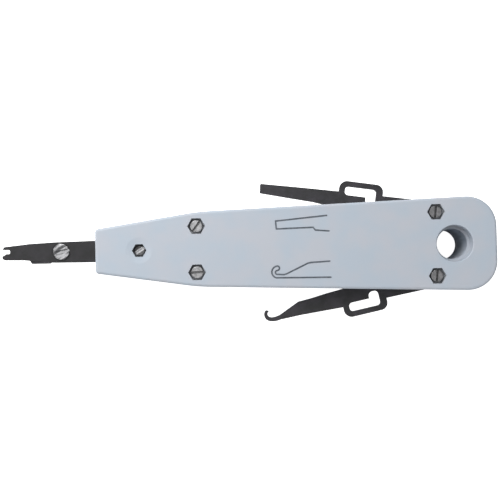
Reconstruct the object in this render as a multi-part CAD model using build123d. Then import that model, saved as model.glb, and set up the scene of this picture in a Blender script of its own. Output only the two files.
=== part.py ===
from build123d import *
import math
import os

# Punch down tool: a two-shell handle holds a sprung insertion head with a forked tip,
# a cutter blade that swings behind it, and two fold-out hand tools in side slots.
#
# Frame, in millimetres: the origin is on the hanging hole's axis at the parting plane.
# +X runs from the fork to the butt, +Y to the release blade's side, +Z to the front face.

# --- Handle -------------------------------------------------------------------------
HALF_THICK = 11.0        # half the handle's thickness
NOSE_X = -127.5
KNEE_X = -91.0           # where the steep nose taper meets the long body
BUTT_X = 15.1
NOSE_HALF = 7.85         # half widths at those three places
KNEE_HALF = 13.35
BUTT_HALF = 17.05
NOSE_CORNER = 1.3
KNEE_CORNER = 70.0
BUTT_CORNER = 10.5
RIM_FILLET = 1.0
SEAM_CHAMFER = 0.2       # breaks both shells' edges where they meet
WALL = 2.2
FACE_THICK = 2.0
CAVITY_Z = HALF_THICK - FACE_THICK
RIB = 1.2
EPS = 0.01               # how far a cut runs past a face

# --- Hanging hole ----------------------------------------------------------------
HOLE_R = 5.5
HOLE_RIM_R = 6.5         # opening in the front face, above the rear shell's tube
HOLE_RIM_EDGE = 0.3
TUBE_R = 7.0
TUBE_FIT = 0.05
TUBE_TOP_Z = 6.6
HOLE_BOSS_R = 8.0

# --- Mouth in the nose, where the head comes out --------------------------------------------
MOUTH_TOP_Y = 4.55
MOUTH_LOW_Y = -4.05
MOUTH_FRONT_Z = 3.25
MOUTH_REAR_Z = -2.85

# --- Engraved pictures of the two fold-out tools ---------------------------------------------
PICTURE_LINE = 0.6
PICTURE_DEPTH = 0.25
BLADE_PICTURE = [(-45.2, 10.9), (-63.3, 9.3), (-63.1, 6.5), (-50.05, 6.8), (-49.3, 5.8), (-44.5, 5.4)]
HOOK_PICTURE_BACK = [(-44.2, -11.0)]
HOOK_PICTURE_ARCS = [     # centre x and y, radius, first and last angle in degrees
    (-62.95, -8.75, 2.1, 255, 93),
    (-63.05, -7.4, 0.75, 88, -75),
    (-63.1, -8.9, 0.7, 80, 250)]
HOOK_PICTURE_FRONT = [(-60.7, -9.7), (-59.9, -9.5), (-52.3, -5.9), (-51.2, -5.65), (-44.5, -5.3)]
ARC_STEPS = 8

# --- Screws, nuts and their pockets --------------------------------------------------
NOSE_SCREW_X = -111.9
MID_SCREW_X = -91.5
MID_SCREW_Y = 8.2
PIVOT_X = -6.4
PIVOT_Y = 11.35
SHANK_R = 1.25
SHANK_HOLE_R = 1.35
SHANK_PROUD = 0.2        # how far a nut's outer face stands beyond its screw's end
HEAD_R = 2.25
HEAD_H = 1.7
HEAD_DOME = 0.35
SLOT_W = 0.8
SLOT_DEPTH = 0.8
POCKET_FLATS = 5.5
POCKET_DEPTH = 2.6
NUT_FLATS = 5.0
NUT_H = 2.0
NUT_POCKET_FLATS = 5.1
NOSE_HEAD_R = 1.9
NOSE_HEAD_H = 1.5
NOSE_POCKET_FLATS = 4.5
NOSE_POCKET_DEPTH = 3.6
NOSE_DISH_R = 4.65       # a shallow cone around the nose screw's recess
NOSE_DISH_FLOOR_R = 2.7
NOSE_DISH_DEPTH = 0.2
BOSS_R = 2.9             # slim part of a screw boss, beside the mechanism
BOSS_HEAD_R = 4.1        # wide part round a pocket
BOSS_STEP_Z = 6.0
SCREW_SLOT_ANGLES = {"nose": 32.0, "mid_upper": 53.0, "mid_lower": 2.0, "rear": 84.0}

# --- Insertion head ------------------------------------------------------------------
TIP_X = -162.7
HEAD_LOW_Z = -1.0
HEAD_HIGH_Z = 3.0
HEAD_HALF = 3.75         # half width inside the handle
HEAD_END_X = -102.0
HEAD_TRAVEL = 5.0
FORK_BOTTOM_X = -159.9
FORK_TOP_Y = 1.43
FORK_LOW_Y = -0.07
HEAD_GUIDE_GAP = 0.1
HEAD_SLOT_SPARE = 0.3

# --- Cutter blade and its pivot --------------------------------------------------------
CUTTER_X = -141.2
CUTTER_Y = 0.3
CUTTER_LOW_Z = -2.6
CUTTER_HIGH_Z = -1.1
CUTTER_TURN = 6.5        # degrees turned over the head's whole travel
CUTTER_BORE_R = 1.8
CUTTER_SHANK_R = 1.75
HEEL_Y = -3.85
HEEL_BEVEL = 0.5
DISC_R = 2.95
DISC_H = 1.1
DISC_SINK = 0.6
DISC_FIT = 0.2
DISC_EDGE = 0.25
DISC_SLOT_DEPTH = 0.6
DISC_SLOT_W = 1.3
DISC_SLOT_ANGLE = 12.0
PIVOT_NUT_R = 2.7
PIVOT_NUT_H = 1.5
PIVOT_NUT_GAP = 0.1
PIVOT_NUT_EDGE = 0.3
CAM_CLEARANCE = 0.3

# --- Nose bush: guides the head and drives the cutter ------------------------------------
BUSH_R = 2.25
BUSH_HALF = 5.0

# --- Ram carrier, spring and seat --------------------------------------------------------
CARRIER_X0 = -106.5
CARRIER_X1 = -96.5
CARRIER_HALF_Y = 5.0
CARRIER_HALF_Z = 4.4
CARRIER_FIT = 0.02
CARRIER_EDGE = 0.5
CROSS_PIN_X = -104.2
CROSS_PIN_R = 1.0
PIN_EDGE = 0.15
ROD_R = 1.8
ROD_POINT = 0.4
ROD_X0 = -100.5
ROD_X1 = -70.0
SPRING_R = 3.5           # mean coil radius
SPRING_WIRE_R = 0.6
SPRING_COILS = 17
SPRING_GAP = 0.05
SEAT_X = -52.0
SEAT_THICK = 2.0
SEAT_HALF_Y = 5.1
SEAT_HALF_Z = 5.5
SEAT_EDGE = 0.6
CHANNEL_HALF = 5.3
CHANNEL_X0 = -87.0

# --- Fold-out tools --------------------------------------------------------------------
PLATE_HALF = 0.8
PLATE_SLOT_HALF = 1.15
WASHER_HALF = 1.1
WASHER_R = 3.6
PLATE_BOSS_R = 4.5
PLATE_BORE_R = 2.25
PIVOT_BUSH_R = 2.2
PIVOT_BUSH_HALF = 3.0
BLADE_OPEN = 8.5         # degrees from folded, as the tool is stored
HOOK_OPEN = 12.0
LOOP_LEFT = 17.9
LOOP_RIGHT = 34.0
LOOP_TOP = 8.1
LOOP_CORNER = 2.7
SIDE_SLOT_X0 = -71.0
SIDE_SLOT_X1 = 2.2
SIDE_SLOT_Y = 8.2
SIDE_SLOT_OUT_Y = 20.0
RAIL_X0 = -68.0
RAIL_X1 = -14.0
RAIL_Y = 9.0
BRACE_XS = (-66.0, -38.0, -16.0)
BRACE_Y0 = 6.0
BRACE_Y1 = 14.0          # inside the outer wall all along the handle


# ---------------------------------------------------------------------------------------
# Helpers
# ---------------------------------------------------------------------------------------
def block(x0, x1, y0, y1, z0, z1):
    """A box between three pairs of coordinates."""
    middle = Pos((x0 + x1) / 2, (y0 + y1) / 2, (z0 + z1) / 2)
    return middle * Box(x1 - x0, y1 - y0, z1 - z0)


def post(x, y, radius, z0, z1):
    """An upright cylinder between two heights."""
    return Pos(x, y, (z0 + z1) / 2) * Cylinder(radius, z1 - z0)


def hex_post(x, y, flats, z0, z1):
    """An upright hexagonal prism with two of its corners along X."""
    outline = RegularPolygon(flats / 2, 6, major_radius=False, rotation=0)
    return slab(Pos(x, y) * outline, z0, z1)


def slab(outline, z0, z1):
    """A flat outline made solid between two heights."""
    return extrude(Pos(0, 0, z0) * outline, z1 - z0)


def turned(shape, x, y, degrees):
    """A shape turned about an upright axis."""
    return Pos(x, y) * Rot(0, 0, degrees) * Pos(-x, -y) * shape


def both_sides(shape):
    """A shape and its mirror image across the handle's long axis."""
    return shape + mirror(shape, about=Plane.XZ)


def stroke(points, width):
    """A line of round-ended straight strokes through the points."""
    line = Sketch()
    for (x0, y0), (x1, y1) in zip(points, points[1:]):
        length = math.hypot(x1 - x0, y1 - y0)
        angle = math.degrees(math.atan2(y1 - y0, x1 - x0))
        straight = SlotCenterToCenter(length, width)
        line += Pos((x0 + x1) / 2, (y0 + y1) / 2) * Rot(0, 0, angle) * straight
    return line


def arc_points(x, y, radius, first, last):
    """Evenly spaced points on an arc, from its first angle to its last."""
    angles = [math.radians(first + (last - first) * i / ARC_STEPS) for i in range(ARC_STEPS + 1)]
    return [(x + radius * math.cos(angle), y + radius * math.sin(angle)) for angle in angles]


def save(name, shape):
    """Write one named piece, or a group of identical ones."""
    solids = list(shape.solids())
    piece = solids[0] if len(solids) == 1 else Compound(children=solids)
    piece.label = name
    export_step(piece, f"parts/{name}.step")


# ---------------------------------------------------------------------------------------
# Handle shells
# ---------------------------------------------------------------------------------------
def handle_outline():
    """The handle seen from the front: steep nose taper, long body, round butt corners."""
    upper = [(NOSE_X, NOSE_HALF), (KNEE_X, KNEE_HALF), (BUTT_X, BUTT_HALF)]
    lower = [(x, -y) for x, y in reversed(upper)]
    radii = [NOSE_CORNER, KNEE_CORNER, BUTT_CORNER]
    edge = FilletPolyline(*(upper + lower), radius=radii + radii[::-1], close=True)
    return make_face(edge)


def screw_places():
    """The five screw positions, with the mid and rear ones in mirrored pairs."""
    mid = [(MID_SCREW_X, MID_SCREW_Y), (MID_SCREW_X, -MID_SCREW_Y)]
    rear = [(PIVOT_X, PIVOT_Y), (PIVOT_X, -PIVOT_Y)]
    return [(NOSE_SCREW_X, 0.0)], mid, rear


def shell_blank():
    """One half of the handle, built upwards from the parting plane, before its holes."""
    outline = handle_outline()
    shell = slab(outline, 0, HALF_THICK)
    shell = fillet(shell.edges().group_by(Axis.Z)[-1], RIM_FILLET)
    shell = chamfer(shell.edges().group_by(Axis.Z)[0], SEAM_CHAMFER)
    shell -= slab(offset(outline, -WALL), 0, CAVITY_Z)
    nose, mid, rear = screw_places()
    inside = post(nose[0][0], 0, BOSS_R + RIB, BUSH_HALF, CAVITY_Z)
    for x, y in mid:
        inside += post(x, y, BOSS_R, 0, CAVITY_Z)
    for x, y in mid + rear:
        inside += post(x, y, BOSS_HEAD_R, BOSS_STEP_Z, CAVITY_Z)
    for x, y in rear:
        inside += post(x, y, BOSS_HEAD_R, WASHER_HALF, CAVITY_Z)
    inside += post(0, 0, HOLE_BOSS_R, 0, CAVITY_Z)
    inside += spring_channel()
    inside += blade_rails()
    return shell + inside


def spring_channel():
    """Two long ribs that keep the spring and its seat in line, and a wall behind the seat."""
    seat_end = SEAT_X + SEAT_THICK
    rib = block(CHANNEL_X0, seat_end + RIB, CHANNEL_HALF, CHANNEL_HALF + RIB, 0, CAVITY_Z)
    end_wall = block(seat_end, seat_end + RIB, -CHANNEL_HALF - EPS, CHANNEL_HALF + EPS, 0, CAVITY_Z)
    return both_sides(rib) + end_wall


def blade_rails():
    """A rib over each folded tool that keeps it flat, and cross ribs that brace it."""
    rail = block(RAIL_X0, RAIL_X1, RAIL_Y, RAIL_Y + RIB, PLATE_SLOT_HALF, CAVITY_Z)
    for x in BRACE_XS:
        rail += block(x, x + RIB, BRACE_Y0, BRACE_Y1, PLATE_SLOT_HALF, CAVITY_Z)
    return both_sides(rail)


def plate_room():
    """The side slots that the fold-out tools swing in, cut through both shells."""
    slot = block(SIDE_SLOT_X0, SIDE_SLOT_X1, SIDE_SLOT_Y, SIDE_SLOT_OUT_Y, 0, PLATE_SLOT_HALF)
    slot += post(PIVOT_X, PIVOT_Y, PLATE_BOSS_R + CAM_CLEARANCE, 0, PLATE_SLOT_HALF)
    slot -= post(PIVOT_X, PIVOT_Y, WASHER_R + RIB, WASHER_HALF, PLATE_SLOT_HALF)
    return both_sides(slot)


def shell_common():
    """A half shell with the cuts that both halves share."""
    shell = shell_blank() - plate_room()
    nose, mid, rear = screw_places()
    for x, y in nose + mid + rear:
        shell -= post(x, y, SHANK_HOLE_R, -EPS, HALF_THICK + EPS)
    for x, y in rear:
        shell -= post(x, y, PIVOT_BUSH_R + EPS, 0, PIVOT_BUSH_HALF + EPS)
    return shell


def mouth(inner_z):
    """The cut through the nose wall from the parting plane to the given height."""
    return block(NOSE_X - 1, NOSE_X + WALL + 1, MOUTH_LOW_Y, MOUTH_TOP_Y, -EPS, inner_z)


def is_hole_rim(edge):
    """Whether a round edge is the hanging hole's opening in the front face."""
    on_face = edge.center().Z > HALF_THICK - EPS
    return on_face and abs(edge.radius - HOLE_RIM_R) < EPS


def engraved_pictures():
    """Outlines of the release blade and the removal hook, cut into the front face."""
    hook = list(HOOK_PICTURE_BACK)
    for arc in HOOK_PICTURE_ARCS:
        hook += arc_points(*arc)
    hook += HOOK_PICTURE_FRONT
    lines = stroke(BLADE_PICTURE, PICTURE_LINE) + stroke(hook, PICTURE_LINE)
    return slab(lines, HALF_THICK - PICTURE_DEPTH, HALF_THICK + EPS)


def front_shell():
    """The shell with the screw heads, the engraved pictures and the wide hole rim."""
    shell = shell_common()
    nose, mid, rear = screw_places()
    for x, y in mid + rear:
        floor = HALF_THICK - POCKET_DEPTH
        shell -= hex_post(x, y, POCKET_FLATS, floor, HALF_THICK + EPS)
    for x, y in nose:
        floor = HALF_THICK - NOSE_POCKET_DEPTH
        shell -= hex_post(x, y, NOSE_POCKET_FLATS, floor, HALF_THICK + EPS)
        dish = Cone(NOSE_DISH_FLOOR_R, NOSE_DISH_R, NOSE_DISH_DEPTH)
        shell -= Pos(x, y, HALF_THICK - NOSE_DISH_DEPTH / 2) * dish
    shell -= post(0, 0, HOLE_RIM_R, -EPS, HALF_THICK + EPS)
    shell = fillet(shell.edges().filter_by(GeomType.CIRCLE).filter_by(is_hole_rim), HOLE_RIM_EDGE)
    shell -= post(0, 0, TUBE_R + TUBE_FIT, -EPS, TUBE_TOP_Z + TUBE_FIT)
    return shell - mouth(MOUTH_FRONT_Z) - engraved_pictures()


def rear_shell():
    """The shell with the nuts and the tube of the hanging hole."""
    shell = shell_common()
    nose, mid, rear = screw_places()
    for x, y in nose + mid + rear:
        floor = HALF_THICK - POCKET_DEPTH
        shell -= hex_post(x, y, NUT_POCKET_FLATS, floor, HALF_THICK + EPS)
    shell = mirror(shell - mouth(-MOUTH_REAR_Z), about=Plane.XY)
    shell -= post(0, 0, TUBE_R - EPS, -HALF_THICK - EPS, EPS)
    return shell + hanging_tube()


def hanging_tube():
    """The tube that lines the hanging hole and locates the front shell."""
    tube = post(0, 0, TUBE_R, -HALF_THICK, TUBE_TOP_Z)
    return tube - post(0, 0, HOLE_R, -HALF_THICK - EPS, TUBE_TOP_Z + EPS)


# ---------------------------------------------------------------------------------------
# Fasteners
# ---------------------------------------------------------------------------------------
def slotted_screw(x, y, head_r, head_h, seat_z, tail_z, slot_angle):
    """A slotted round-head screw standing on its seat, with its shank down to the tail."""
    head = post(x, y, head_r, seat_z, seat_z + head_h)
    head = fillet(head.edges().group_by(Axis.Z)[-1], HEAD_DOME)
    reach = 2 * head_r
    half = SLOT_W / 2
    slot = block(x - reach, x + reach, y - half, y + half, seat_z + head_h - SLOT_DEPTH, HALF_THICK)
    head -= turned(slot, x, y, slot_angle)
    return head + post(x, y, SHANK_R, tail_z, seat_z)


def hex_nut(x, y):
    """A hexagon nut on the floor of a rear pocket, threaded on its screw."""
    top = -(HALF_THICK - POCKET_DEPTH)
    nut = hex_post(x, y, NUT_FLATS, top - NUT_H, top)
    return nut - post(x, y, SHANK_R, top - NUT_H - EPS, top + EPS)


def shell_screws(places, angles):
    """Shell screws of the common size, as a group."""
    seat = HALF_THICK - POCKET_DEPTH
    tail = POCKET_DEPTH - HALF_THICK - NUT_H + SHANK_PROUD
    screws = Part()
    for (x, y), angle in zip(places, angles):
        screws += slotted_screw(x, y, HEAD_R, HEAD_H, seat, tail, angle)
    return screws


def nose_screw():
    """The smaller screw through the nose bush."""
    seat = HALF_THICK - NOSE_POCKET_DEPTH
    tail = POCKET_DEPTH - HALF_THICK - NUT_H + SHANK_PROUD
    angle = SCREW_SLOT_ANGLES["nose"]
    return slotted_screw(NOSE_SCREW_X, 0, NOSE_HEAD_R, NOSE_HEAD_H, seat, tail, angle)


def nuts(places):
    """The nuts behind a group of screws."""
    group = Part()
    for x, y in places:
        group += hex_nut(x, y)
    return group


def nose_bush():
    """A steel sleeve round the nose screw, clamped between the two shells."""
    sleeve = post(NOSE_SCREW_X, 0, BUSH_R, -BUSH_HALF, BUSH_HALF)
    return sleeve - post(NOSE_SCREW_X, 0, SHANK_HOLE_R, -BUSH_HALF - EPS, BUSH_HALF + EPS)


def pivot_bush(side):
    """A steel sleeve that a fold-out tool turns on."""
    y = side * PIVOT_Y
    sleeve = post(PIVOT_X, y, PIVOT_BUSH_R, -PIVOT_BUSH_HALF, PIVOT_BUSH_HALF)
    return sleeve - post(PIVOT_X, y, SHANK_HOLE_R, -PIVOT_BUSH_HALF - EPS, PIVOT_BUSH_HALF + EPS)


def pivot_washers(side):
    """A washer on each face of a fold-out tool."""
    y = side * PIVOT_Y
    pair = Part()
    for z0, z1 in ((PLATE_HALF, WASHER_HALF), (-WASHER_HALF, -PLATE_HALF)):
        washer = post(PIVOT_X, y, WASHER_R, z0, z1)
        pair += washer - post(PIVOT_X, y, PLATE_BORE_R, z0 - EPS, z1 + EPS)
    return pair


# ---------------------------------------------------------------------------------------
# Insertion head
# ---------------------------------------------------------------------------------------
def insertion_head():
    """The forked steel bar, with a slot for the nose bush and a seat for the pivot disc."""
    outline = make_face(Polyline(
        (TIP_X, 1.5), (TIP_X + 0.7, 2.5), (-152.6, 3.45), (-143.9, 3.85), (-127.0, 4.15),
        (-124.0, 4.1), (-121.0, HEAD_HALF), (HEAD_END_X, HEAD_HALF), (HEAD_END_X, -HEAD_HALF),
        (-127.0, -HEAD_HALF), (-144.0, -3.6), (-151.0, -2.9), (-155.0, -2.5),
        (TIP_X + 0.8, -2.35), (TIP_X, -1.8),
        (TIP_X, -0.95), (TIP_X + 1.5, FORK_LOW_Y), (FORK_BOTTOM_X - 0.35, FORK_LOW_Y),
        (FORK_BOTTOM_X, FORK_LOW_Y + 0.35), (FORK_BOTTOM_X, FORK_TOP_Y - 0.35),
        (FORK_BOTTOM_X - 0.35, FORK_TOP_Y), close=True))
    bar = slab(outline, HEAD_LOW_Z, HEAD_HIGH_Z)
    slot_r = BUSH_R + HEAD_GUIDE_GAP
    slot_front = NOSE_SCREW_X - HEAD_TRAVEL - HEAD_SLOT_SPARE
    slot_rear = NOSE_SCREW_X + HEAD_GUIDE_GAP
    slot_length = slot_rear - slot_front
    slot_middle = (slot_front + slot_rear) / 2
    slot = SlotCenterToCenter(slot_length, 2 * slot_r)
    bar -= slab(Pos(slot_middle, 0) * slot, HEAD_LOW_Z - 1, HEAD_HIGH_Z + 1)
    bar -= post(CUTTER_X, CUTTER_Y, DISC_R + DISC_FIT, HEAD_HIGH_Z - DISC_SINK, HEAD_HIGH_Z + 1)
    bar -= post(CUTTER_X, CUTTER_Y, CUTTER_SHANK_R, HEAD_LOW_Z - 1, HEAD_HIGH_Z + 1)
    bar -= post(CROSS_PIN_X, 0, CROSS_PIN_R, HEAD_LOW_Z - 1, HEAD_HIGH_Z + 1)
    return bar


def cutter_pivot_screw():
    """The slotted disc screw on the front of the head that the cutter turns on."""
    low = HEAD_HIGH_Z - DISC_SINK
    disc = post(CUTTER_X, CUTTER_Y, DISC_R, low, low + DISC_H)
    disc = fillet(disc.edges().group_by(Axis.Z)[-1], DISC_EDGE)
    half = DISC_SLOT_W / 2
    slot = block(CUTTER_X - 2 * DISC_R, CUTTER_X + 2 * DISC_R, CUTTER_Y - half, CUTTER_Y + half,
                 low + DISC_H - DISC_SLOT_DEPTH, HALF_THICK)
    disc -= turned(slot, CUTTER_X, CUTTER_Y, DISC_SLOT_ANGLE)
    tail = CUTTER_LOW_Z - PIVOT_NUT_GAP - PIVOT_NUT_H
    return disc + post(CUTTER_X, CUTTER_Y, CUTTER_SHANK_R, tail, low)


def cutter_pivot_nut():
    """The round nut behind the cutter."""
    top = CUTTER_LOW_Z - PIVOT_NUT_GAP
    nut = post(CUTTER_X, CUTTER_Y, PIVOT_NUT_R, top - PIVOT_NUT_H, top)
    nut = chamfer(nut.edges().group_by(Axis.Z)[0], PIVOT_NUT_EDGE)
    return nut - post(CUTTER_X, CUTTER_Y, CUTTER_SHANK_R, top - PIVOT_NUT_H - 1, top + 1)


def cam_path():
    """Where the nose bush passes through the cutter, in the cutter's own plane.

    As the head is pushed in, the bush nears the pivot while the cutter turns steadily.
    """
    reach = NOSE_SCREW_X - CUTTER_X
    points = []
    for share in (0.0, 0.5, 1.0):
        angle = math.radians(CUTTER_TURN * share)
        distance = reach - HEAD_TRAVEL * share
        x = CUTTER_X + distance * math.cos(angle) + CUTTER_Y * math.sin(angle)
        y = CUTTER_Y + distance * math.sin(angle) - CUTTER_Y * math.cos(angle)
        points.append((x, y))
    return points


def is_heel(edge):
    """Whether an edge is the upper one of the cutter's heel, below the head."""
    middle = edge.center()
    before_pivot = middle.X < CUTTER_X
    return before_pivot and middle.Y < HEEL_Y + EPS and middle.Z > CUTTER_HIGH_Z - EPS


def cutter_blade():
    """A flat lever: cutting nose behind the fork, eye at the pivot, cam plate in the handle."""
    outline = make_face(Polyline(
        (-160.6, -1.9), (-160.6, -0.35), (-153.0, 0.6), (-144.0, 3.2), (-138.5, 3.2),
        (-134.0, 2.4), (-121.5, 2.4), (-118.5, 6.0), (-109.5, 6.0), (-108.6, 5.0),
        (-108.6, -3.2), (-109.8, -4.2), (-117.0, -4.2), (-121.5, -2.2), (-134.0, -2.0),
        (-138.5, -2.8), (-145.3, -2.9), (-146.4, HEEL_Y), (-153.1, HEEL_Y), (-154.0, -2.3),
        close=True))
    blade = slab(outline, CUTTER_LOW_Z, CUTTER_HIGH_Z)
    blade = chamfer(blade.edges().filter_by(is_heel), HEEL_BEVEL)
    cam = SlotArc(ThreePointArc(*cam_path()), 2 * (BUSH_R + CAM_CLEARANCE))
    blade -= slab(cam, CUTTER_LOW_Z - 1, CUTTER_HIGH_Z + 1)
    return blade - post(CUTTER_X, CUTTER_Y, CUTTER_BORE_R, CUTTER_LOW_Z - 1, CUTTER_HIGH_Z + 1)


def ram_carrier():
    """The steel block pinned to the head's inner end, which the main spring pushes."""
    half_y = CARRIER_HALF_Y
    half_z = CARRIER_HALF_Z
    carrier = block(CARRIER_X0, CARRIER_X1, -half_y, half_y, -half_z, half_z)
    carrier = chamfer(carrier.edges().filter_by(Axis.X), CARRIER_EDGE)
    fit = CARRIER_FIT
    carrier -= block(CARRIER_X0 - 1, HEAD_END_X + fit, -HEAD_HALF - fit, HEAD_HALF + fit,
                     HEAD_LOW_Z - fit, HEAD_HIGH_Z + fit)
    carrier -= post(CROSS_PIN_X, 0, CROSS_PIN_R, -half_z - 1, half_z + 1)
    return carrier - rod_along_x(ROD_R, ROD_X0, CARRIER_X1 + 1)


def rod_along_x(radius, x0, x1):
    """A cylinder on the tool's long axis."""
    return Pos((x0 + x1) / 2, 0, 0) * Rot(0, 90, 0) * Cylinder(radius, x1 - x0)


def ram_cross_pin():
    """The pin that joins the head to its carrier."""
    pin = post(CROSS_PIN_X, 0, CROSS_PIN_R, -CARRIER_HALF_Z, CARRIER_HALF_Z)
    return chamfer(pin.edges().filter_by(GeomType.CIRCLE), PIN_EDGE)


def spring_guide_rod():
    """The rod inside the main spring, pressed into the carrier."""
    rod = rod_along_x(ROD_R, ROD_X0, ROD_X1)
    return chamfer(rod.edges().filter_by(GeomType.CIRCLE).group_by(Axis.X)[-1], ROD_POINT)


def main_spring():
    """The compression spring between the carrier and its seat."""
    gap = SPRING_WIRE_R + SPRING_GAP
    start = CARRIER_X1 + gap
    length = SEAT_X - gap - start
    helix = Helix(length / SPRING_COILS, length, SPRING_R)
    wire_section = Plane(origin=helix @ 0, z_dir=helix % 0) * Circle(SPRING_WIRE_R)
    coil = sweep(wire_section, path=helix, is_frenet=True)
    return Pos(start, 0, 0) * Rot(0, 90, 0) * coil


def spring_seat():
    """The plate at the spring's fixed end."""
    seat = block(SEAT_X, SEAT_X + SEAT_THICK, -SEAT_HALF_Y, SEAT_HALF_Y, -SEAT_HALF_Z, SEAT_HALF_Z)
    return chamfer(seat.edges().filter_by(Axis.X), SEAT_EDGE)


# ---------------------------------------------------------------------------------------
# Fold-out tools, drawn folded: x from the pivot towards the fork, y outwards
# ---------------------------------------------------------------------------------------
def finger_loop():
    """The rounded loop that stands out of the handle's side."""
    width = LOOP_RIGHT - LOOP_LEFT
    middle = (LOOP_LEFT + LOOP_RIGHT) / 2
    height = LOOP_TOP + LOOP_CORNER
    return Pos(middle, LOOP_TOP - height / 2) * RectangleRounded(width, height, LOOP_CORNER)


def nail_hole():
    """The L-shaped hole in the loop."""
    long_leg = Pos(26.1, 4.55) * RectangleRounded(11.6, 3.2, 1.3)
    short_leg = Pos(22.2, 3.4) * RectangleRounded(3.8, 5.5, 1.5)
    return long_leg + short_leg


def plate_root(inner_edge):
    """Boss, shank and loop, which both fold-out tools share, with the inner edge's points."""
    shank = make_face(Polyline((0, PLATE_BOSS_R), (34.0, 3.95), *inner_edge, (0, -PLATE_BOSS_R),
                               close=True))
    return Circle(PLATE_BOSS_R) + shank + finger_loop()


def release_blade_outline():
    """A straight flat blade with a square end."""
    inner = [(38.3, -1.6), (34.0, -2.6), (14.0, -3.4)]
    blade = make_face(Polyline((33.0, 3.95), (47.6, 3.6), (62.7, 3.1), (63.1, 2.7), (62.8, -0.35),
                               (50.8, -0.85), (43.2, -1.1), (38.3, -1.6), (33.0, -2.6), close=True))
    return plate_root(inner[1:]) + blade


def removal_hook_outline():
    """A tapering blade that ends in a small hook turned inwards."""
    back = Polyline((33.0, -2.65), (33.0, 3.95), (49.5, 3.1), (57.6, 3.0))
    hook_outside = Spline((57.6, 3.0), (60.7, 2.9), (62.55, 1.75), (62.95, 0.2), (61.9, -1.5))
    hook_tip = Line((61.9, -1.5), (60.8, -1.0))
    hook_inside = Spline((60.8, -1.0), (61.65, 0.25), (61.25, 1.1), (60.2, 1.55), (57.4, 1.35))
    front = Polyline((57.4, 1.35), (49.6, -1.85), (44.6, -2.0), (38.7, -2.45), (33.0, -2.65))
    blade = make_face(back + hook_outside + hook_tip + hook_inside + front)
    return plate_root([(34.0, -2.65), (14.0, -3.4)]) + blade


def fold_out_tool(outline, side, opening):
    """A hardened steel plate, placed on its pivot and turned out of its slot."""
    plate = outline - nail_hole() - Circle(PLATE_BORE_R)
    if side > 0:
        plate = mirror(plate, about=Plane.XZ)
    placed = Pos(PIVOT_X, side * PIVOT_Y) * Rot(0, 0, 180 - side * opening) * plate
    return slab(placed, -PLATE_HALF, PLATE_HALF)


# ---------------------------------------------------------------------------------------
# The whole tool
# ---------------------------------------------------------------------------------------
def all_pieces():
    """Every piece by name."""
    nose, mid, rear = screw_places()
    mid_angles = [SCREW_SLOT_ANGLES["mid_upper"], SCREW_SLOT_ANGLES["mid_lower"]]
    rear_angles = [SCREW_SLOT_ANGLES["rear"]] * 2
    return {
        "front_shell": front_shell(),
        "rear_shell": rear_shell(),
        "nose_screw": nose_screw(),
        "mid_screws": shell_screws(mid, mid_angles),
        "rear_screws": shell_screws(rear, rear_angles),
        "nose_nut": nuts(nose),
        "mid_nuts": nuts(mid),
        "rear_nuts": nuts(rear),
        "nose_bush": nose_bush(),
        "blade_pivot_bush": pivot_bush(1),
        "hook_pivot_bush": pivot_bush(-1),
        "blade_pivot_washers": pivot_washers(1),
        "hook_pivot_washers": pivot_washers(-1),
        "insertion_head": insertion_head(),
        "cutter_pivot_screw": cutter_pivot_screw(),
        "cutter_pivot_nut": cutter_pivot_nut(),
        "cutter_blade": cutter_blade(),
        "ram_carrier": ram_carrier(),
        "ram_cross_pin": ram_cross_pin(),
        "spring_guide_rod": spring_guide_rod(),
        "main_spring": main_spring(),
        "spring_seat": spring_seat(),
        "release_blade": fold_out_tool(release_blade_outline(), 1, BLADE_OPEN),
        "removal_hook": fold_out_tool(removal_hook_outline(), -1, HOOK_OPEN),
    }


os.makedirs("parts", exist_ok=True)
for piece_name, piece_shape in all_pieces().items():
    save(piece_name, piece_shape)
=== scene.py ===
import math

import bmesh
import bpy
from mathutils import Matrix, Vector


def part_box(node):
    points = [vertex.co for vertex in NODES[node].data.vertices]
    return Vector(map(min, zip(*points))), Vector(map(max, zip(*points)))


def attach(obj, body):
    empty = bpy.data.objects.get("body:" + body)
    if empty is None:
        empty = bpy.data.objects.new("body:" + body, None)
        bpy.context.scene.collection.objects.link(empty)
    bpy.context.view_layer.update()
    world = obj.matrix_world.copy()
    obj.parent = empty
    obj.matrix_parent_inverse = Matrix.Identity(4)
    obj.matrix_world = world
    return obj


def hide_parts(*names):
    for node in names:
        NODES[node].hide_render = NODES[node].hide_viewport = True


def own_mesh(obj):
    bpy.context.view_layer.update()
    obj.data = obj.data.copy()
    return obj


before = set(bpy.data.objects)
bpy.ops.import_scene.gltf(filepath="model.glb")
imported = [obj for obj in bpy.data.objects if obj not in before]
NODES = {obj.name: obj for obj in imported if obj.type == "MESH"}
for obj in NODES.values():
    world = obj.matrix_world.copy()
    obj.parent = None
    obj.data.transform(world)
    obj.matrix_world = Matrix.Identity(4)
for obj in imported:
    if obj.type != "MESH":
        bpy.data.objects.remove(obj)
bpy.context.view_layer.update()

MM = 0.001
FACE_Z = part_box("front_shell")[1].z
REAR_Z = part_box("rear_shell")[0].z

# ---------------------------------------------------------------------------------------
# Camera, light and floor
# ---------------------------------------------------------------------------------------
VIEW_MIDDLE = Vector((-72.6, -0.5, 0.0)) * MM
VIEW_DISTANCE = 298 * MM
VIEW_TILT = math.radians(1.13)       # the camera leans a little towards -Y
VIEW_ROLL = math.radians(1.3)        # the tool climbs to the right by this much
LENS_PER_WIDTH = 811.0 / 500.0       # focal length over picture width
SENSOR = 36.0                        # millimetres, as Blender gives it
NEAR_CLIP = 0.01

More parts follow.
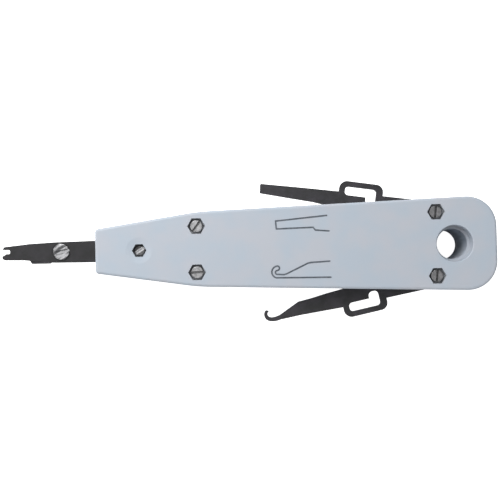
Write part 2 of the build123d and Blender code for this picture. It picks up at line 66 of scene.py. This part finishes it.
TOOL_MIDDLE = (-0.07, 0.0, 0.0)
NOSE = (-0.10, 0.0, 0.0)
LIGHTS = [                # name, place, the point it is aimed at, side of its square, watts
    ("key", (-0.36, 0.34, 0.40), TOOL_MIDDLE, 0.45, 4.6),
    ("nose_light", (-0.155, 0.03, 0.40), NOSE, 0.07, 0.05),
    ("fill", (0.50, -0.40, 0.50), TOOL_MIDDLE, 0.6, 0.9),
    ("low_fill", (-0.05, -0.50, 0.08), TOOL_MIDDLE, 0.4, 0.9)]
SURROUND_LIGHT = 0.28                # on the tool
SURROUND_SEEN = 1.0                  # to the camera

FLOOR_HALF = 3.0
FLOOR_GAP = 0.02 * MM                # keeps the rear face out of the floor's plane
FLOOR_WHITE = (0.8, 0.8, 0.8, 1.0)
WHITE = (1.0, 1.0, 1.0, 1.0)


def make_camera():
    """A camera above the front face, at the distance that gives the right depth."""
    data = bpy.data.cameras.new("camera")
    data.sensor_width = SENSOR
    data.lens = SENSOR * LENS_PER_WIDTH
    data.clip_start = NEAR_CLIP
    camera = bpy.data.objects.new("camera", data)
    bpy.context.scene.collection.objects.link(camera)
    lean = Matrix.Rotation(VIEW_TILT, 4, "X")
    roll = Matrix.Rotation(-VIEW_ROLL, 4, "Z")
    back = Matrix.Translation((0, 0, VIEW_DISTANCE))
    camera.matrix_world = Matrix.Translation(VIEW_MIDDLE) @ lean @ roll @ back
    bpy.context.scene.camera = camera


def make_lights():
    """A large key at the upper left, a small one above the nose, and two fills."""
    for name, place, target, size, watts in LIGHTS:
        data = bpy.data.lights.new(name, "AREA")
        data.size = size
        data.energy = watts
        light = bpy.data.objects.new(name, data)
        bpy.context.scene.collection.objects.link(light)
        light.location = place
        direction = Vector(target) - Vector(place)
        light.rotation_euler = direction.to_track_quat("-Z", "Y").to_euler()


def make_surround():
    """An even surround: dim on the tool, and white where the camera sees it."""
    world = bpy.data.worlds.new("surround")
    world.use_nodes = True
    nodes = world.node_tree.nodes
    links = world.node_tree.links
    background = nodes["Background"]
    background.inputs["Color"].default_value = WHITE
    seen = nodes.new("ShaderNodeLightPath").outputs["Is Camera Ray"]
    level = nodes.new("ShaderNodeMapRange")
    level.inputs["To Min"].default_value = SURROUND_LIGHT
    level.inputs["To Max"].default_value = SURROUND_SEEN
    links.new(seen, level.inputs["Value"])
    links.new(level.outputs["Result"], background.inputs["Strength"])
    bpy.context.scene.world = world


def make_floor():
    """A wide white table top under the tool, evenly lit, and clear from below."""
    mesh = bpy.data.meshes.new("floor")
    half = FLOOR_HALF
    corners = [(-half, -half), (half, -half), (half, half), (-half, half)]
    mesh.from_pydata([(x, y, REAR_Z - FLOOR_GAP) for x, y in corners], [], [(0, 1, 2, 3)])
    floor = bpy.data.objects.new("floor", mesh)
    bpy.context.scene.collection.objects.link(floor)
    surface = Surface("floor_white")
    surface.set("Base Color", FLOOR_WHITE)
    surface.set("Roughness", 0.9)
    surface.set("Specular IOR Level", 0.1)
    surface.set("Emission Color", WHITE)
    seen = surface.node("ShaderNodeLightPath").outputs["Is Camera Ray"]
    surface.set("Emission Strength", seen)
    from_below = surface.node("ShaderNodeNewGeometry").outputs["Backfacing"]
    surface.set("Alpha", surface.maths("SUBTRACT", 1.0, from_below))
    mesh.materials.append(surface.material)


# ---------------------------------------------------------------------------------------
# Material building blocks
# ---------------------------------------------------------------------------------------
BEVEL_SAMPLES = 6
SHADE_SAMPLES = 8


class Surface:
    """A material under construction: one Principled shader and the nodes that feed it."""

    def __init__(self, name):
        self.material = bpy.data.materials.new(name)
        self.material.use_nodes = True
        self.tree = self.material.node_tree
        self.shader = self.tree.nodes["Principled BSDF"]
        self.place = self.node("ShaderNodeTexCoord").outputs["Object"]

    def node(self, kind, **inputs):
        """A new node, with input sockets set by name or fed by another node's output."""
        made = self.tree.nodes.new(kind)
        for socket, value in inputs.items():
            self.feed(made.inputs[socket.replace("_", " ")], value)
        return made

    def feed(self, socket, value):
        """Links an output to a socket, or sets the socket's own value."""
        if isinstance(value, bpy.types.NodeSocket):
            self.tree.links.new(value, socket)
        else:
            socket.default_value = value

    def set(self, name, value):
        """Sets or feeds one of the shader's sockets."""
        self.feed(self.shader.inputs[name], value)

    def turned(self, angle, origin=(0.0, 0.0, 0.0), length=1.0):
        """Object coordinates from an origin, turned by an angle and drawn out along it."""
        mapping = self.node("ShaderNodeMapping", Vector=self.place)
        mapping.vector_type = "TEXTURE"
        mapping.inputs["Location"].default_value = origin
        mapping.inputs["Rotation"].default_value = (0.0, 0.0, angle)
        mapping.inputs["Scale"].default_value = (length, 1.0, 1.0)
        return mapping.outputs["Vector"]

    def noise(self, size, detail=3.0, roughness=0.55, along=None):
        """Noise from 0 to 1 with features of about size metres."""
        made = self.node("ShaderNodeTexNoise", Vector=along or self.place)
        made.inputs["Scale"].default_value = 1.0 / size
        made.inputs["Detail"].default_value = detail
        made.inputs["Roughness"].default_value = roughness
        return made.outputs["Fac"]

    def span(self, value, low, high, to_low=0.0, to_high=1.0):
        """A value rescaled from one range to another, and clamped."""
        made = self.node("ShaderNodeMapRange", Value=value)
        made.inputs["From Min"].default_value = low
        made.inputs["From Max"].default_value = high
        made.inputs["To Min"].default_value = to_low
        made.inputs["To Max"].default_value = to_high
        return made.outputs["Result"]

    def maths(self, operation, first, second):
        """One arithmetic step on two values."""
        made = self.node("ShaderNodeMath")
        made.operation = operation
        self.feed(made.inputs[0], first)
        self.feed(made.inputs[1], second)
        return made.outputs[0]

    def blend_colour(self, share, first, second):
        """A colour between two others."""
        made = self.node("ShaderNodeMix")
        made.data_type = "RGBA"
        factor, colour_a, colour_b = made.inputs[0], made.inputs[6], made.inputs[7]
        self.feed(factor, share)
        self.feed(colour_a, first)
        self.feed(colour_b, second)
        return made.outputs[2]

    def bump(self, height, depth, normal=None):
        """A surface normal raised by height, with depth in metres."""
        made = self.node("ShaderNodeBump", Height=height)
        made.inputs["Distance"].default_value = depth
        made.inputs["Strength"].default_value = 1.0
        if normal is not None:
            self.feed(made.inputs["Normal"], normal)
        return made.outputs["Normal"]

    def patches(self, size, detail, roughness, low, high):
        """Soft-edged patches, from 0 to 1."""
        return self.span(self.noise(size, detail, roughness), low, high)

    def edges(self, radius, low, high):
        """1 on sharp edges and 0 on flat ground, from how far a rounded normal strays."""
        rounded = self.node("ShaderNodeBevel")
        rounded.samples = BEVEL_SAMPLES
        rounded.inputs["Radius"].default_value = radius
        dot = self.node("ShaderNodeVectorMath")
        dot.operation = "DOT_PRODUCT"
        self.feed(dot.inputs[0], rounded.outputs["Normal"])
        self.feed(dot.inputs[1], self.node("ShaderNodeNewGeometry").outputs["Normal"])
        stray = self.maths("SUBTRACT", 1.0, dot.outputs["Value"])
        return self.span(stray, low, high)

    def crevices(self, reach, low=0.35, high=0.80):
        """1 in slots and recesses narrower than about reach, and 0 on open ground, read from
        ambient occlusion: the mask for painted shade.
        """
        shade = self.node("ShaderNodeAmbientOcclusion")
        shade.samples = SHADE_SAMPLES
        shade.inputs["Distance"].default_value = reach
        return self.span(shade.outputs["AO"], low, high, 1.0, 0.0)

    def scratches(self, spacing, threshold, angle):
        """Thin marks that run at an angle from +X: 1 on a mark and 0 between."""
        along = self.turned(angle, length=20.0)
        lines = self.noise(spacing, detail=2.0, roughness=0.5, along=along)
        return self.span(lines, threshold, threshold + 0.03)


# ---------------------------------------------------------------------------------------
# Materials
# ---------------------------------------------------------------------------------------
PLASTIC_COOL = (0.418, 0.474, 0.540, 1.0)
PLASTIC_WARM = (0.452, 0.478, 0.528, 1.0)
PLASTIC_SPECK = (0.30, 0.31, 0.33, 1.0)
PLASTIC_WORN = (0.56, 0.60, 0.64, 1.0)
# darker grey for the painted shade in recesses
PLASTIC_RECESS_SHADE = (0.34, 0.335, 0.33, 1.0)

OXIDE_DEEP = (0.024, 0.024, 0.025)
OXIDE_PLUM = (0.036, 0.034, 0.039)
BARE_STEEL = (0.20, 0.20, 0.20, 1.0)

DISC_LIGHT = (0.47, 0.47, 0.48, 1.0)
DISC_DULL = (0.10, 0.10, 0.105, 1.0)
# painted shade in the disc's slot
DISC_SLOT_SHADE = (0.05, 0.05, 0.052, 1.0)
DISC_STREAK_ANGLE = math.radians(30)
DISC_GOUGE_ANGLE = math.radians(32)

NOSE_SLOT_ANGLE = math.radians(32)
# painted highlight along the nose screw's slot
NOSE_HIGHLIGHT_FROM = 0.45 * MM         # fully bright this near the slot's middle
NOSE_HIGHLIGHT_TO = 0.70 * MM           # and dark from here outwards

PAINT_DARK = (0.085, 0.100, 0.120, 1.0)
PAINT_PALE = (0.15, 0.17, 0.20, 1.0)

ZINC_BLUE = 1.02                     # how much bluer than grey the plating is


def grey(level):
    """A grey with the faint blue of zinc."""
    return (level, level, level * ZINC_BLUE, 1.0)


def plastic_colour(surface):
    """Faintly mottled blue-grey, with specks, pale worn edges and painted shade in recesses.
    """
    mottle = surface.patches(9 * MM, detail=2.0, roughness=0.5, low=0.35, high=0.65)
    colour = surface.blend_colour(mottle, PLASTIC_COOL, PLASTIC_WARM)
    specks = surface.noise(0.7 * MM, detail=2.0, roughness=0.6)
    specks = surface.span(specks, low=0.70, high=0.78, to_high=0.10)
    colour = surface.blend_colour(specks, colour, PLASTIC_SPECK)
    worn = surface.edges(0.5 * MM, low=0.03, high=0.30)
    patchy = surface.patches(3 * MM, detail=3.0, roughness=0.6, low=0.40, high=0.62)
    worn = surface.maths("MULTIPLY", worn, surface.maths("MULTIPLY", patchy, 0.30))
    colour = surface.blend_colour(worn, colour, PLASTIC_WORN)
    # painted shade: darker where ambient occlusion finds recesses, such as the bore of the
    # hanging hole
    recess_shade = surface.crevices(5 * MM, low=0.25, high=0.75)
    recess_shade = surface.maths("MULTIPLY", recess_shade, 0.5)
    return surface.blend_colour(recess_shade, colour, PLASTIC_RECESS_SHADE)


def handle_plastic():
    """Light blue-grey moulded ABS with a fine texture, rubs and scratches."""
    surface = Surface("handle_plastic")
    surface.set("Base Color", plastic_colour(surface))
    rub = surface.noise(5 * MM, detail=4.0, roughness=0.6)
    rough = surface.span(rub, low=0.3, high=0.7, to_low=0.44, to_high=0.56)
    marks = surface.scratches(0.25 * MM, threshold=0.70, angle=0.4)
    marks = surface.maths("MULTIPLY", marks, 0.10)
    surface.set("Roughness", surface.maths("SUBTRACT", rough, marks))
    surface.set("IOR", 1.48)
    surface.set("Specular IOR Level", 0.42)
    grain = surface.bump(surface.noise(0.22 * MM, detail=2.0, roughness=0.6), 0.006 * MM)
    swell = surface.noise(6 * MM, detail=1.0, roughness=0.4)
    surface.set("Normal", surface.bump(swell, 0.02 * MM, grain))
    return surface.material


def black_steel(name, grain_angle, shade):
    """Hardened steel with a matte black oxide skin, worn bright on its edges."""
    surface = Surface(name)
    deep = (*[level * shade for level in OXIDE_DEEP], 1.0)
    plum = (*[level * shade for level in OXIDE_PLUM], 1.0)
    cloud = surface.patches(4 * MM, detail=3.0, roughness=0.55, low=0.35, high=0.65)
    colour = surface.blend_colour(cloud, deep, plum)
    worn = surface.edges(0.22 * MM, low=0.03, high=0.22)
    patchy = surface.patches(1.2 * MM, detail=4.0, roughness=0.65, low=0.42, high=0.62)
    worn = surface.maths("MULTIPLY", worn, surface.maths("MULTIPLY", patchy, 0.55))
    marks = surface.scratches(0.12 * MM, threshold=0.72, angle=grain_angle)
    bare = surface.maths("MAXIMUM", worn, surface.maths("MULTIPLY", marks, 0.25))
    surface.set("Base Color", surface.blend_colour(bare, colour, BARE_STEEL))
    metallic = surface.span(bare, low=0.0, high=1.0, to_low=0.25, to_high=0.9)
    surface.set("Metallic", metallic)
    rough = surface.noise(1.5 * MM, detail=4.0, roughness=0.6)
    rough = surface.span(rough, low=0.3, high=0.7, to_low=0.42, to_high=0.58)
    surface.set("Roughness", rough)
    surface.set("Specular IOR Level", 0.45)
    along = surface.turned(grain_angle, length=8.0)
    rolled = surface.noise(0.15 * MM, detail=3.0, roughness=0.6, along=along)
    rolled = surface.bump(rolled, 0.006 * MM)
    pits = surface.noise(0.5 * MM, detail=3.0, roughness=0.6)
    surface.set("Normal", surface.bump(pits, 0.012 * MM, rolled))
    return surface.material


def scored_disc():
    """Turned steel on the pivot screw: bright, with dull streaks scored across it."""
    surface = Surface("disc_steel")
    along = surface.turned(DISC_STREAK_ANGLE, length=5.0)
    streaks = surface.noise(1.1 * MM, detail=2.0, roughness=0.6, along=along)
    streaks = surface.span(streaks, low=0.42, high=0.58)
    colour = surface.blend_colour(streaks, DISC_LIGHT, DISC_DULL)
    # painted shade: the slot is darkened where ambient occlusion finds it
    slot = surface.crevices(0.8 * MM)
    surface.set("Base Color", surface.blend_colour(slot, colour, DISC_SLOT_SHADE))
    surface.set("Metallic", 0.9)
    rough = surface.noise(0.5 * MM)
    rough = surface.span(rough, low=0.3, high=0.7, to_low=0.32, to_high=0.50)
    surface.set("Roughness", rough)
    gouges = surface.scratches(0.22 * MM, threshold=0.56, angle=DISC_GOUGE_ANGLE)
    dents = surface.bump(surface.noise(0.9 * MM, detail=3.0, roughness=0.6), 0.05 * MM)
    surface.set("Normal", surface.bump(gouges, -0.03 * MM, dents))
    return surface.material


def tool_marks(surface, angle):
    """The fine one-way marks of machining, as a surface normal."""
    along = surface.turned(angle, length=7.0)
    marks = surface.noise(0.1 * MM, detail=3.0, roughness=0.6, along=along)
    return surface.bump(marks, 0.005 * MM)


def plated_steel(name, light, dark, rough, angle=0.0, slot=0.2):
    """Plated steel with dull patches: light and dark are how bright, slot a share of light for
    the painted shade in slots and recesses.
    """
    surface = Surface(name)
    patch = surface.patches(0.8 * MM, detail=4.0, roughness=0.6, low=0.38, high=0.64)
    colour = surface.blend_colour(patch, grey(light), grey(dark))
    worn = surface.edges(0.12 * MM, low=0.03, high=0.3)
    worn = surface.maths("MULTIPLY", worn, 0.4)
    colour = surface.blend_colour(worn, colour, grey(light * 1.6))
    # painted shade: slots and recesses are darkened to slot times light where ambient
    # occlusion finds them
    slot_shade_mask = surface.crevices(0.7 * MM, low=0.5, high=0.9)
    surface.set("Base Color", surface.blend_colour(slot_shade_mask, colour, grey(slot * light)))
    surface.set("Metallic", 0.9)
    sheen = surface.noise(0.4 * MM)
    sheen = surface.span(sheen, low=0.3, high=0.7, to_low=rough, to_high=rough + 0.15)
    surface.set("Roughness", sheen)
    surface.set("Normal", tool_marks(surface, angle))
    return surface.material


def screw_with_slot_highlight():
    """The dark nose screw, brightened along its slot: a painted highlight for the lit walls of
    the slot.
    """
    surface = Surface("screw_slot_highlight")
    low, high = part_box("nose_screw")
    middle = ((low.x + high.x) / 2, (low.y + high.y) / 2, 0.0)
    # painted highlight: the colour is lightened in a band along the slot
    across = surface.turned(NOSE_SLOT_ANGLE, origin=middle)
    split = surface.node("ShaderNodeSeparateXYZ", Vector=across)
    aside = surface.maths("ABSOLUTE", split.outputs["Y"], 0.0)
    slot_highlight = surface.span(aside, NOSE_HIGHLIGHT_FROM, NOSE_HIGHLIGHT_TO, to_low=1.0, to_high=0.0)
    patch = surface.patches(0.7 * MM, detail=3.0, roughness=0.6, low=0.38, high=0.64)
    dark = surface.blend_colour(patch, grey(0.16), grey(0.08))
    light = surface.blend_colour(patch, grey(0.95), grey(0.62))
    colour = surface.blend_colour(slot_highlight, dark, light)
    # painted shade: the slot is darkened where ambient occlusion finds it
    slot = surface.maths("MULTIPLY", surface.crevices(0.5 * MM), 0.6)
    surface.set("Base Color", surface.blend_colour(slot, colour, grey(0.06)))
    surface.set("Metallic", 0.8)
    sheen = surface.noise(0.4 * MM)
    sheen = surface.span(sheen, low=0.3, high=0.7, to_low=0.36, to_high=0.52)
    surface.set("Roughness", sheen)
    surface.set("Normal", tool_marks(surface, NOSE_SLOT_ANGLE))
    return surface.material


def pictogram_paint():
    """Blue-grey filler in the engraved lines."""
    surface = Surface("pictogram_paint")
    patch = surface.patches(1.5 * MM, detail=3.0, roughness=0.6, low=0.35, high=0.65)
    surface.set("Base Color", surface.blend_colour(patch, PAINT_DARK, PAINT_PALE))
    surface.set("Roughness", 0.6)
    surface.set("Normal", surface.bump(surface.noise(0.2 * MM, detail=2.0), 0.01 * MM))
    return surface.material


# ---------------------------------------------------------------------------------------
# Dressing the CAD pieces
# ---------------------------------------------------------------------------------------
ROUNDING = 0.18 * MM
ROUNDING_THIN = 0.1 * MM
ROUNDING_SEGMENTS = 2
ROUNDING_ANGLE = math.radians(35)


def dress(nodes, material, rounding=0.0):
    """Gives CAD nodes a material, and slightly rounded edges where rounding is given."""
    for name in nodes:
        piece = NODES[name]
        piece.data.materials.clear()
        piece.data.materials.append(material)
        if rounding:
            bevel = piece.modifiers.new("rounded_edges", "BEVEL")
            bevel.width = rounding
            bevel.segments = ROUNDING_SEGMENTS
            bevel.limit_method = "ANGLE"
            bevel.angle_limit = ROUNDING_ANGLE


def dress_black_parts():
    """The insertion head, the cutter and the two fold-out tools."""
    head = black_steel("head_black", grain_angle=math.radians(2), shade=0.65)
    # painted light: the cutter is coloured 3.2 times lighter than the oxide, to brighten its
    # heel where the head shades it
    cutter = black_steel("cutter_black_painted_light", grain_angle=math.radians(70), shade=3.2)
    blade = black_steel("blade_black", grain_angle=math.radians(-9), shade=1.25)
    hook = black_steel("hook_black", grain_angle=math.radians(11), shade=1.6)
    dress(["insertion_head"], head, ROUNDING)
    dress(["cutter_blade"], cutter, ROUNDING_THIN)
    dress(["release_blade"], blade, ROUNDING)
    dress(["removal_hook"], hook, ROUNDING)


def dress_fasteners():
    """The screws and their nuts."""
    # painted reflection: one plated steel in a lighter copy for the mid screws and a darker
    # copy for the rear screws, for the reflections they catch
    bright = plated_steel("screw_painted_reflection_light", 0.50, 0.30, rough=0.42, angle=math.radians(40))
    dull = plated_steel("screw_painted_reflection_dark", 0.37, 0.22, rough=0.44, angle=math.radians(75))
    zinc = plated_steel("nut_zinc", 0.58, 0.42, rough=0.32, angle=0.4)
    dress(["cutter_pivot_screw"], scored_disc())
    dress(["mid_screws"], bright)
    dress(["rear_screws"], dull)
    dress(["nose_screw"], screw_with_slot_highlight())
    dress(["nose_nut", "mid_nuts", "rear_nuts"], zinc)


def dress_inner_parts():
    """The plain steel pieces, nearly all inside the handle."""
    plain = plated_steel("plain_steel", 0.52, 0.38, rough=0.30, slot=0.6)
    mechanism = ["ram_carrier", "ram_cross_pin", "spring_guide_rod", "spring_seat"]
    sleeves = ["nose_bush", "blade_pivot_bush", "hook_pivot_bush"]
    washers = ["blade_pivot_washers", "hook_pivot_washers"]
    dress(["cutter_pivot_nut"] + mechanism + sleeves + washers, plain)


# ---------------------------------------------------------------------------------------
# Paint in the engraved pictures
# ---------------------------------------------------------------------------------------
PAINT_WIDTH = 0.56 * MM
PAINT_FLOOR = FACE_Z - 0.25 * MM
PAINT_TOP = FACE_Z - 0.17 * MM
ARC_STEPS = 8
SHARPEST_MITRE = 0.5

# The same lines as the grooves in the front shell, in millimetres
BLADE_PICTURE = [
    (-45.2, 10.9), (-63.3, 9.3), (-63.1, 6.5), (-50.05, 6.8), (-49.3, 5.8), (-44.5, 5.4)]
HOOK_BACK = [(-44.2, -11.0)]
HOOK_ARCS = [             # centre x and y, radius, first and last angle in degrees
    (-62.95, -8.75, 2.1, 255, 93),
    (-63.05, -7.4, 0.75, 88, -75),
    (-63.1, -8.9, 0.7, 80, 250)]
HOOK_FRONT = [(-60.7, -9.7), (-59.9, -9.5), (-52.3, -5.9), (-51.2, -5.65), (-44.5, -5.3)]


def arc_points(x, y, radius, first, last, steps=ARC_STEPS):
    """Evenly spaced points on an arc, from its first angle to its last."""
    angles = [math.radians(first + (last - first) * i / steps) for i in range(steps + 1)]
    return [(x + radius * math.cos(angle), y + radius * math.sin(angle)) for angle in angles]


def strip_edges(points, half):
    """The points at half a width to the left and to the right of a line."""
    directions = [(b - a).normalized() for a, b in zip(points, points[1:])]
    arriving = directions[:1] + directions
    leaving = directions + directions[-1:]
    left, right = [], []
    for before, point, after in zip(arriving, points, leaving):
        side = (before + after).normalized().orthogonal()
        reach = half / max(side.dot(after.orthogonal()), SHARPEST_MITRE)
        left.append(point + side * reach)
        right.append(point - side * reach)
    return left, right, directions


def ribbon(mesh, points, width):
    """Adds a flat strip with round ends along a line to a mesh."""
    left, right, directions = strip_edges(points, width / 2)
    left = [mesh.verts.new((*point, PAINT_TOP)) for point in left]
    right = [mesh.verts.new((*point, PAINT_TOP)) for point in right]
    for a, b, c, d in zip(right, right[1:], left[1:], left):
        mesh.faces.new((a, b, c, d))
    last_end = (points[-1], directions[-1], right[-1], left[-1])
    first_end = (points[0], -directions[0], left[0], right[0])
    for middle, direction, begin, end in (last_end, first_end):
        turn = math.degrees(math.atan2(direction.y, direction.x))
        arc = arc_points(*middle, width / 2, turn - 90, turn + 90)[1:-1]
        cap = [mesh.verts.new((*point, PAINT_TOP)) for point in arc]
        mesh.faces.new([begin] + cap + [end])


def new_piece(name, mesh, material):
    """An object in the scene from a finished bmesh."""
    data = bpy.data.meshes.new(name)
    mesh.to_mesh(data)
    mesh.free()
    data.materials.append(material)
    piece = bpy.data.objects.new(name, data)
    bpy.context.scene.collection.objects.link(piece)
    return piece


def make_paint():
    """The paint in both engraved pictures, one thin piece each."""
    material = pictogram_paint()
    curl = [point for arc in HOOK_ARCS for point in arc_points(*arc)]
    hook_picture = HOOK_BACK + curl + HOOK_FRONT
    pictures = (("blade_picture_paint", BLADE_PICTURE), ("hook_picture_paint", hook_picture))
    for name, line in pictures:
        mesh = bmesh.new()
        ribbon(mesh, [Vector(point) * MM for point in line], PAINT_WIDTH)
        piece = new_piece(name, mesh, material)
        thick = piece.modifiers.new("thickness", "SOLIDIFY")
        thick.thickness = PAINT_TOP - PAINT_FLOOR
        thick.offset = -1.0
        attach(piece, "handle")


# ---------------------------------------------------------------------------------------
# The main spring, a fixed coil in the place of the CAD spring
# ---------------------------------------------------------------------------------------
SPRING_COILS = 17
SPRING_WIRE_R = 0.6 * MM
STEPS_PER_COIL = 24
WIRE_SIDES = 10


def wire_ring(mesh, middle, outward):
    """The corners of the wire's section at one place along the coil."""
    ring = []
    for side in range(WIRE_SIDES):
        turn = 2 * math.pi * side / WIRE_SIDES
        along = Vector((math.sin(turn), 0.0, 0.0))
        spot = middle + (outward * math.cos(turn) + along) * SPRING_WIRE_R
        ring.append(mesh.verts.new(spot))
    return ring


def coil_mesh(start, length, radius):
    """A coil of wire about the X axis, closed at both ends."""
    steps = SPRING_COILS * STEPS_PER_COIL
    mesh = bmesh.new()
    rings = []
    for step in range(steps + 1):
        angle = 2 * math.pi * step / STEPS_PER_COIL
        outward = Vector((0.0, math.cos(angle), math.sin(angle)))
        middle = Vector((start + length * step / steps, 0.0, 0.0)) + outward * radius
        rings.append(wire_ring(mesh, middle, outward))
    for ring, following in zip(rings, rings[1:]):
        for a in range(WIRE_SIDES):
            b = (a + 1) % WIRE_SIDES
            face = mesh.faces.new((ring[a], ring[b], following[b], following[a]))
            face.smooth = True
    mesh.faces.new(reversed(rings[0]))
    mesh.faces.new(rings[-1])
    bmesh.ops.recalc_face_normals(mesh, faces=mesh.faces)
    return mesh


def make_spring():
    """A coil in the place of the CAD spring, fixed at its seat."""
    low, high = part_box("main_spring")
    room = high.x - low.x
    radius = (high.y - low.y) / 2 - SPRING_WIRE_R
    mesh = coil_mesh(low.x + SPRING_WIRE_R, room - 2 * SPRING_WIRE_R, radius)
    steel = plated_steel("spring_steel", 0.34, 0.22, rough=0.32, angle=0.2, slot=0.6)
    coil = new_piece("spring_coil", mesh, steel)
    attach(coil, "handle")
    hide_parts("main_spring")
    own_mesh(coil)


make_camera()
make_lights()
make_surround()
make_floor()
dress(["front_shell", "rear_shell"], handle_plastic())
dress_black_parts()
dress_fasteners()
dress_inner_parts()
make_paint()
make_spring()
bpy.context.scene.view_settings.view_transform = "Standard"
